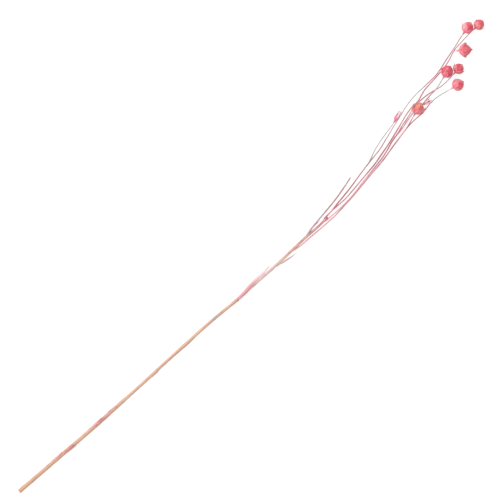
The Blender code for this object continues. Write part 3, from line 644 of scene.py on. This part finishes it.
def make_capsule(number, centre, radius, axis, turn, diamond, material):
    """A ribbed seed capsule with five deep and five fine seams that meet at its beak."""
    polar, around, local = capsule_grid()
    fade = smooth_step(0.15, 0.9, polar) * (1 - smooth_step(math.pi - 0.12, math.pi - 0.03, polar))
    deep, fine = seams(around, CELLS, 0.10), seams(around + math.pi / CELLS, CELLS, 0.05)
    wrinkles = 0.022 * grain_noise(local, 1.4, number * 3.1) + 0.008 * grain_noise(local, (9, 9, 2.0), number)
    lobes = 0.012 * np.cos(CELLS * around + math.pi) * np.sin(polar)
    reach = capsule_profile(polar) * diamond_share(polar, diamond) + lobes + wrinkles * np.sin(polar)
    reach -= fade * (SEAM_DEPTH * deep + FINE_SEAM_DEPTH * fine)
    directions = local @ axis_frame(axis, turn)
    points = centre + directions * (reach * radius)[..., None]
    attributes = {
        "grain": np.stack([np.cos(around), np.sin(around), polar * 0.3 + number], -1),
        # The capsule's patches: partly dye, partly painted highlights and shade.
        "tint": direction_patches(directions, CAPSULE_DYE_AND_LIGHT[number - 1]),
        "seam": fade * np.maximum(deep, 0.6 * fine),
        "beak": smooth_step(math.pi - 0.30, math.pi - 0.08, polar),
    }
    faces = tube_faces(CAPSULE_ROWS, CAPSULE_COLUMNS)
    make_piece(f"capsule_{number}_shell", f"capsule_{number}", points, faces, attributes, material)


# ---------------- sepals


def sepal_width(t):
    """A sepal's width as a share of a fifth of the ring, from its foot (t = 0) to its drawn-out tip."""
    return (1 - t) ** 0.75 * (0.78 + 1.05 * t) * (1 - 0.38 * t * t) + 0.012


def sepal_lift(t, v, seed):
    """How far a sepal lies off its outline: one edge over the next sepal, veined, crumpled and cupped."""
    veins = hump(v, 0.10) + 0.5 * hump(np.abs(v) - 0.48, 0.09)
    crumple = grain_noise(np.stack([v * 1.5, t * 3.0, np.full_like(t, seed)], -1), 1.0, 0.0)
    return 0.16 + 0.09 * v * (1 - t) + 0.05 * veins * (1 - t) + 0.10 * crumple * t + 0.10 * (v * v - 0.3) * t


def make_sepals(name, centre, axis, turn, outline, material, seed, patches=(), spread=1.18, fades=2.0):
    """Five veined sepals that overlap at their edges. outline(t) gives a sepal's distance from the axis, its
    height and the direction that it faces. Their colour has patches, and fades from t = fades on."""
    frame_rows = axis_frame(axis, turn)
    t, v = np.meshgrid(np.linspace(0, 1, SEPAL_ROWS), np.linspace(-1, 1, SEPAL_COLUMNS), indexing="ij")
    points, faces, blade = [], [], []
    for k in range(SEPALS):
        vary = noise.noise(Vector((k * 2.3, seed, 0.7)))
        reach, height, normal = outline(t * (1 + 0.06 * vary))
        half = math.pi / SEPALS * spread * sepal_width(t)
        around = 2 * math.pi * k / SEPALS + half * v + 0.10 * vary * t
        lift = sepal_lift(t, v, k + seed)
        away = reach + lift * normal[0]
        local = np.stack([away * np.cos(around), away * np.sin(around), height + lift * normal[1]], -1)
        faces += grid_faces(SEPAL_ROWS, SEPAL_COLUMNS, first=k * t.size)
        points.append(centre + local.reshape(-1, 3) @ frame_rows)
        blade.append(np.stack([v, t, np.full_like(t, k * 0.37 + seed)], -1).reshape(-1, 3))
    points, blade = np.concatenate(points), np.concatenate(blade)
    directions = points - centre
    directions /= np.linalg.norm(directions, axis=1)[:, None]
    attributes = {
        "blade": blade,
        "tint": direction_patches(directions, patches),
        "faded": smooth_step(fades, fades + 0.4, blade[:, 1]),
    }
    node = name.replace("_sepals", "")
    make_piece(name, node, points, faces, attributes, material, thickness=SEPAL_BLADE)


def capsule_sepal_outline(radius, tip_stand, diamond):
    """The outline of the sepals that clasp a capsule."""
    def outline(t):
        polar = math.radians(SEPAL_START) + t * math.radians(SEPAL_END - SEPAL_START)
        reach = radius * capsule_profile(polar) * diamond_share(polar, diamond) + tip_stand * t**3
        reach = reach + 0.35 * np.maximum(0, t - 0.8) ** 2 / 0.04
        return reach * np.sin(polar), -reach * np.cos(polar), (np.sin(polar), -np.cos(polar))

    return outline


def bud_sepal_outline(half_length, radius, tip_stand, rise):
    """The outline of a bud's narrow sepals: round its lower half, then up past it."""
    widest = radius * 1.18

    def outline(t):
        low = np.minimum(t, 0.5)
        high = np.maximum(t - 0.5, 0.0) * 2
        reach = widest * np.sin(math.pi * low) + tip_stand * high**2
        height = -(half_length + 0.1) * np.cos(math.pi * low) + rise * half_length * high
        return reach, height, (np.sin(math.pi * low), -np.cos(math.pi * low))

    return outline


# ---------------- buds


def make_bud(number, centre, half_length, radius, axis, turn, material):
    """A bud of five rolled petals that wind round it to a puckered tip."""
    polar = math.pi * np.linspace(0.01, 0.985, BUD_ROWS)
    around = 2 * math.pi * np.arange(BUD_COLUMNS) / BUD_COLUMNS
    polar, around = np.meshgrid(polar, around, indexing="ij")
    height = -np.cos(polar)
    winding = (PETALS * around / (2 * math.pi) + 1.1 * height) % 1.0
    width = radius * (1 - 0.18 * height) * np.sin(polar) ** 0.9
    width = width * (1 + 0.16 * (winding - 0.5) * smooth_step(-0.9, 0.2, height))
    local = np.stack([width * np.cos(around), width * np.sin(around), half_length * height * 1.04], -1)
    points = centre + local @ axis_frame(axis, turn)
    attributes = {
        "grain": np.stack([np.cos(around + height), np.sin(around + height), height * 0.3], -1),
        "seam": hump(winding, 0.12),
        "beak": 0.7 * smooth_step(0.75, 1.0, height),
    }
    faces = tube_faces(BUD_ROWS, BUD_COLUMNS)
    make_piece(f"bud_{number}_petals", f"bud_{number}", points, faces, attributes, material)


# ---------------- leaves and bracts


def leaf_width(t):
    """A leaf's width as a share of its greatest, from its foot (t = 0) to its point (t = 1)."""
    return np.sin(math.pi * (0.12 + 0.86 * t) ** 0.8) ** 0.9


def make_leaf(name, rings, sizes, material):
    """A dry narrow leaf along its stalk: it clasps the stalk at its foot, then stands off it and twists."""
    foot_x, length, width, foot_side, tip_side, tip_stand, bend, faded, withered = sizes
    seed = float(seed_of(name, 40))
    points, blade = [], []
    free = smooth_step(0.2, 1.6, tip_stand)
    for t in np.linspace(0, 1, LEAF_ROWS):
        middle, along, radius = stem_at(rings, foot_x + length * t)
        middle = np.array(middle)
        level, up = crosswise(np.array(along))
        side = foot_side + (tip_side - foot_side) * t
        grown = math.radians(side) + 0.25 * noise.noise(Vector((t * 2.5, seed, 0)))
        facing = grown + free * smooth_step(0.0, 0.35, t) * 0.9 * (math.pi / 2 - grown)
        stand = 0.12 + tip_stand * t**bend + 0.2 * (1 + noise.noise(Vector((t * 4.0, seed, 3.0)))) * t
        half = width / 2 * leaf_width(t) + 0.02
        flat = free * smooth_step(0.0, 0.3, t)
        outwards = level * math.cos(facing) + up * math.sin(facing)
        across = up * math.cos(facing) - level * math.sin(facing)
        foot = (level * math.cos(grown) + up * math.sin(grown)) * (radius + stand)
        for v in np.linspace(-1, 1, LEAF_COLUMNS):
            round_stalk = grown + v * half / (radius + stand)
            clasped = (level * math.cos(round_stalk) + up * math.sin(round_stalk)) * (radius + stand)
            roll = 0.22 * half * (math.cos(3.3 * v) - 0.4) + 0.04 * hump(v, 0.14)
            spread = foot + (across * v * half * 0.8 + outwards * roll)
            frill = 0.06 * half * math.sin(9 * t + 2.5 * v + seed) * abs(v)
            points.append(middle + clasped * (1 - flat) + spread * flat + outwards * frill)
            blade.append((v, t, seed))
    attributes = {
        "blade": blade,
        "faded": np.repeat(faded * smooth_step(0.3, 1.0, np.linspace(0, 1, LEAF_ROWS)), LEAF_COLUMNS),
        "withered": np.full(len(points), withered),
    }
    faces = grid_faces(LEAF_ROWS, LEAF_COLUMNS)
    make_piece(name + "_blade", name, points, faces, attributes, material, thickness=LEAF_BLADE)


# ---------------- materials


class Shader:
    """Short calls that add nodes to a material and link them."""

    def __init__(self, name):
        self.material = bpy.data.materials.new(name)
        self.material.use_nodes = True
        self.tree = self.material.node_tree
        self.principled = self.tree.nodes["Principled BSDF"]

    def feed(self, socket, value):
        """Links an output to a socket, or sets the socket to a plain value."""
        if isinstance(value, bpy.types.NodeSocket):
            self.tree.links.new(value, socket)
        else:
            socket.default_value = value

    def node(self, kind, inputs=None, **settings):
        made = self.tree.nodes.new(kind)
        for key, value in settings.items():
            setattr(made, key, value)
        for key, value in (inputs or {}).items():
            self.feed(made.inputs[key], value)
        return made

    def attribute(self, name, output="Vector"):
        return self.node("ShaderNodeAttribute", attribute_name=name).outputs[output]

    def parts(self, name):
        return self.node("ShaderNodeSeparateXYZ", {"Vector": self.attribute(name)}).outputs

    def noise(self, vector, scale, stretch=(1, 1, 1), detail=3.0):
        mapped = self.node("ShaderNodeMapping", {"Vector": vector, "Scale": stretch}).outputs["Vector"]
        inputs = {"Vector": mapped, "Scale": scale, "Detail": detail, "Roughness": 0.55}
        return self.node("ShaderNodeTexNoise", inputs).outputs["Fac"]

    def math(self, operation, *values, clamp=False):
        inputs = dict(enumerate(values))
        return self.node("ShaderNodeMath", inputs, operation=operation, use_clamp=clamp).outputs["Value"]

    def scaled(self, value, factor):
        return self.math("MULTIPLY", value, factor)

    def ramp(self, value, low, high):
        made = self.node("ShaderNodeMapRange", {"Value": value, "From Min": low, "From Max": high})
        return made.outputs["Result"]

    def mix(self, share, first, second):
        made = self.node("ShaderNodeMix", data_type="RGBA")
        for key, value in (("Factor_Float", share), ("A_Color", first), ("B_Color", second)):
            socket = next(s for s in made.inputs if s.identifier == key)
            self.feed(socket, (*value, 1.0) if isinstance(value, tuple) else value)
        return next(s for s in made.outputs if s.identifier == "Result_Color")

    def tones(self, share, paint):
        """A paint's light tone where the share is 1, and its dark tone where it is 0."""
        light, dark = paint
        return self.mix(share, dark, light)

    def patch(self, colour, amount, paint, streak, mottle, unevenness, full, onset):
        """A paint that took unevenly: wholly where its mottled amount reaches full and its own onset."""
        uneven = self.math("MULTIPLY_ADD", self.math("SUBTRACT", mottle, 0.5), unevenness, amount)
        taken = self.ramp(uneven, 0.1, full)
        share = self.math("MULTIPLY", taken, self.ramp(amount, 0.0, onset), clamp=True)
        return self.mix(share, colour, self.tones(streak, paint))

    def finish(self, colour, roughness, height, strength, depth):
        """The material, with fine relief of a depth in millimetres."""
        bump = self.node("ShaderNodeBump", {"Height": height, "Strength": strength, "Distance": depth * MM})
        self.feed(self.principled.inputs["Base Color"], colour)
        self.feed(self.principled.inputs["Roughness"], roughness)
        self.feed(self.principled.inputs["Normal"], bump.outputs["Normal"])
        self.principled.inputs["Specular IOR Level"].default_value = 0.35
        return self.material


def stalk_material(name, skin):
    """Dry stalk: fibres, brown, bleached and grey stretches, uneven dye, painted shade on its shaded side and
    dark leaf scars.
    """
    s = Shader(name)
    grain = s.attribute("grain")
    rose, deep, grey = s.parts("tint")
    browned, bleached, _ = s.parts("weather")
    fibre = s.noise(grain, 3.2, (1, 1, 0.035))
    blotch = s.noise(grain, 0.35, (1, 1, 0.5), detail=2.0)
    specks = s.noise(grain, 2.4, (1, 1, 0.35), detail=1.0)

    colour = s.tones(s.ramp(fibre, 0.35, 0.68), skin)
    colour = s.mix(browned, colour, s.tones(fibre, BROWNED))
    # The rose, deep red and grey carry dye and also the painted shade of the patches on the side away from the
    # light.
    for amount, paint in ((rose, ROSE), (deep, DEEP_RED), (grey, GREY)):
        colour = s.patch(colour, amount, paint, fibre, blotch, 1.6, 0.8, 0.15)
    colour = s.mix(bleached, colour, s.tones(fibre, BLEACHED))
    colour = s.mix(s.ramp(specks, 0.70, 0.78), colour, SPECK)
    colour = s.mix(s.scaled(s.ramp(s.attribute("scar", "Fac"), 0.35, 1.0), 0.55), colour, SCAR)
    colour = s.mix(s.attribute("wood", "Fac"), colour, s.tones(s.noise(grain, 5.0), PITH))
    return s.finish(colour, s.ramp(fibre, 1.2, -0.2), fibre, 0.35, 0.12)


def capsule_material(name, wall):
    """Papery capsule wall: pale streaks from base to beak that are painted highlights, darker seams, and pale,
    deep and orange patches that are partly painted highlights and shade.
    """
    s = Shader(name)
    grain = s.attribute("grain")
    pale, deep, orange = s.parts("tint")
    streak = s.noise(grain, 7.0, (1, 1, 0.5))
    mottle = s.noise(grain, 2.6, detail=4.0)

    colour = s.tones(s.ramp(mottle, 0.3, 0.7), wall)
    # Orange and pale patches are partly painted highlights, deep patches partly painted shade.
    for amount, paint in ((orange, ORANGE_PATCH_AND_HIGHLIGHT), (deep, DEEP_PATCH_AND_SHADE), (pale, PALE_PATCH_AND_HIGHLIGHT)):
        colour = s.patch(colour, amount, paint, streak, mottle, 0.8, 0.9, 0.2)
    # Painted highlight streaks from base to beak.
    colour = s.mix(s.scaled(s.ramp(streak, 0.56, 0.78), 0.35), colour, PALE_HIGHLIGHT_STREAK)
    colour = s.mix(s.scaled(s.attribute("seam", "Fac"), 0.55), colour, SEAM)
    colour = s.mix(s.scaled(s.attribute("beak", "Fac"), 0.8), colour, BEAK)
    return s.finish(colour, s.ramp(streak, 1.3, -0.4), streak, 0.3, 0.10)


def blade_material(name):
    """Dry sepals and leaves: veins along them, thin edges, bleached stretches and a withered tip."""
    s = Shader(name)
    face, edge, vein, tip, bleached = BLADE_PAINTS[name]
    blade = s.attribute("blade")
    across, along, _ = s.parts("blade")
    pale, deep, orange = s.parts("tint")
    spread = s.noise(blade, 2.2, (1.0, 1.6, 3.0), detail=4.0)
    lines = s.noise(blade, 6.0, (2.2, 0.25, 1.0), detail=2.0)
    aside = s.math("ABSOLUTE", across)
    midrib = s.math("SUBTRACT", 1.0, s.ramp(aside, 0.0, 0.14))
    off_side_vein = s.math("ABSOLUTE", s.math("SUBTRACT", aside, 0.48))
    side_vein = s.math("SUBTRACT", 1.0, s.ramp(off_side_vein, 0.0, 0.10))
    veins = s.math("MAXIMUM", midrib, s.scaled(side_vein, 0.6), clamp=True)

    colour = s.tones(s.ramp(spread, 0.3, 0.7), face)
    # A capsule's sepals take its patches: orange and pale partly as painted highlights, deep partly as painted
    # shade.
    colour = s.mix(s.scaled(orange, 0.9), colour, ORANGE_SEPAL_AND_HIGHLIGHT)
    colour = s.mix(s.scaled(deep, 0.7), colour, DEEP_SEPAL_AND_SHADE)
    colour = s.mix(s.scaled(pale, 0.8), colour, PALE_SEPAL_AND_HIGHLIGHT)
    colour = s.mix(s.scaled(veins, 0.7), colour, vein)
    colour = s.mix(s.scaled(s.ramp(lines, 0.52, 0.75), 0.5), colour, vein)
    colour = s.mix(s.scaled(s.ramp(aside, 0.66, 0.95), 0.8), colour, edge)
    colour = s.mix(s.scaled(s.attribute("faded", "Fac"), 0.9), colour, bleached)
    colour = s.mix(s.attribute("withered", "Fac"), colour, tip)
    colour = s.mix(s.ramp(s.math("MULTIPLY_ADD", spread, 0.3, along), 0.95, 1.18), colour, tip)
    return s.finish(colour, 0.7, lines, 0.4, 0.10)


def floor_material():
    """A white surface that keeps the object's faint shadow."""
    s = Shader("white_surface")
    path = s.node("ShaderNodeLightPath").outputs
    mirrored = s.math("MAXIMUM", path["Is Glossy Ray"], path["Is Transmission Ray"])
    seen = s.math("MAXIMUM", path["Is Camera Ray"], mirrored)
    white = s.node("ShaderNodeEmission", {"Color": (1, 1, 1, 1), "Strength": FLOOR_WHITE})
    shaded = s.node("ShaderNodeBsdfDiffuse", {"Color": (*[FLOOR_SHADE] * 3, 1)})
    shown = s.node("ShaderNodeAddShader", {0: white.outputs[0], 1: shaded.outputs[0]})
    lit = s.node("ShaderNodeBsdfDiffuse", {"Color": (*[FLOOR_GREY] * 3, 1)})
    both = s.node("ShaderNodeMixShader", {"Fac": seen, 1: lit.outputs[0], 2: shown.outputs[0]})
    s.feed(s.tree.nodes["Material Output"].inputs["Surface"], both.outputs[0])
    return s.material


# ---------------- the whole object


def make_stalks(routes):
    """The straw-coloured main stem and the dyed stalks that grow from it."""
    straw = stalk_material("straw_stalk", STRAW)
    dyed = stalk_material("dyed_stalk", DYED)
    for name, rings in routes.items():
        slot, material = ("straw_stem", straw) if name == "main_stem" else ("dyed_stalk", dyed)
        make_stem(name, rings, material)


def make_capsules(axes):
    """The capsules in their sepals. The last one is orange."""
    coral = capsule_material("coral_capsule", CORAL)
    orange = capsule_material("orange_capsule", ORANGE)
    sepal = blade_material("sepal")
    for number, (stem, centre, radius, tip_stand, turn, diamond) in enumerate(CAPSULES, start=1):
        radius += FULLNESS
        axis, dye = axes[stem], CAPSULE_DYE_AND_LIGHT[number - 1]
        wall, slot = (orange, "orange_capsule") if number == len(CAPSULES) else (coral, "coral_capsule")
        make_capsule(number, centre, radius, axis, turn, diamond, wall)
        outline = capsule_sepal_outline(radius, tip_stand, diamond)
        # The sepals take the capsule's patches, with their painted highlights and shade.
        make_sepals(f"calyx_{number}_sepals", centre, axis, turn, outline, sepal, number, dye)


def make_buds(axes):
    """The buds in their narrow sepals."""
    petal = capsule_material("bud_petals", BUD_PETALS)
    sepal = blade_material("bud_sepal")
    for number, (stem, centre, half_length, radius, tip_stand, turn, rise, fades) in enumerate(BUDS, start=1):
        axis = axes[stem]
        make_bud(number, centre, half_length, radius, axis, turn, petal)
        outline = bud_sepal_outline(half_length, radius, tip_stand, rise)
        make_sepals(f"bud_calyx_{number}_sepals", centre, axis, turn, outline, sepal,
                    10 + number, spread=1.1, fades=fades)


def make_leaves(routes):
    """The dry leaves and the bracts at the forks."""
    leaf = blade_material("dried_leaf")
    bract = blade_material("bract")
    for name, (stem, *sizes) in LEAVES.items():
        slot, material = ("bract", bract) if name.startswith("bract") else ("dried_leaf", leaf)
        make_leaf(name, routes[stem], sizes, material)


# ---------------- floor, light and camera


def make_floor():
    """A wide white surface that the stem lies on."""
    half = FLOOR_HALF
    corners = [(-half, -half, 0), (half, -half, 0), (half, half, 0), (-half, half, 0)]
    mesh = bpy.data.meshes.new("floor")
    mesh.from_pydata(corners, [], [(0, 1, 2, 3)])
    mesh.materials.append(floor_material())
    floor = bpy.data.objects.new("floor", mesh)
    bpy.context.scene.collection.objects.link(floor)


def make_light():
    """A large soft lamp to the upper left of the view, and an even world that is white to the camera."""
    world = bpy.data.worlds.new("studio")
    world.use_nodes = True
    tree = world.node_tree
    background = tree.nodes["Background"]
    background.inputs["Color"].default_value = (1, 1, 1, 1)
    path = tree.nodes.new("ShaderNodeLightPath")
    strength = tree.nodes.new("ShaderNodeMapRange")
    strength.inputs["To Min"].default_value = WORLD_STRENGTH
    strength.inputs["To Max"].default_value = 1.0
    tree.links.new(path.outputs["Is Camera Ray"], strength.inputs["Value"])
    tree.links.new(strength.outputs["Result"], background.inputs["Strength"])
    bpy.context.scene.world = world

    lamp_data = bpy.data.lights.new("soft_box", "AREA")
    lamp_data.shape = "SQUARE"
    lamp_data.size = LAMP_SIZE
    lamp_data.energy = LAMP_POWER
    lamp = bpy.data.objects.new("soft_box", lamp_data)
    bpy.context.scene.collection.objects.link(lamp)
    lamp.location = LAMP_PLACE
    lamp.rotation_euler = (-lamp.location).to_track_quat("-Z", "Y").to_euler()


def make_camera():
    """A long lens that looks straight down, turned so that the stem points up and to the right."""
    camera_data = bpy.data.cameras.new("camera")
    camera_data.lens = LENS
    camera_data.sensor_width = SENSOR
    camera_data.clip_end = CLIP_END
    camera = bpy.data.objects.new("camera", camera_data)
    bpy.context.scene.collection.objects.link(camera)
    x, y, z = VIEW_CENTRE
    camera.location = Vector((x, y, z + VIEW_WIDTH * LENS / SENSOR)) * MM
    camera.rotation_euler = (0, 0, -math.radians(VIEW_TURN))
    bpy.context.scene.camera = camera


ROUTES, AXES = stem_routes()
make_stalks(ROUTES)
make_capsules(AXES)
make_buds(AXES)
make_leaves(ROUTES)
make_floor()
make_light()
make_camera()
bpy.context.scene.view_settings.view_transform = "Standard"
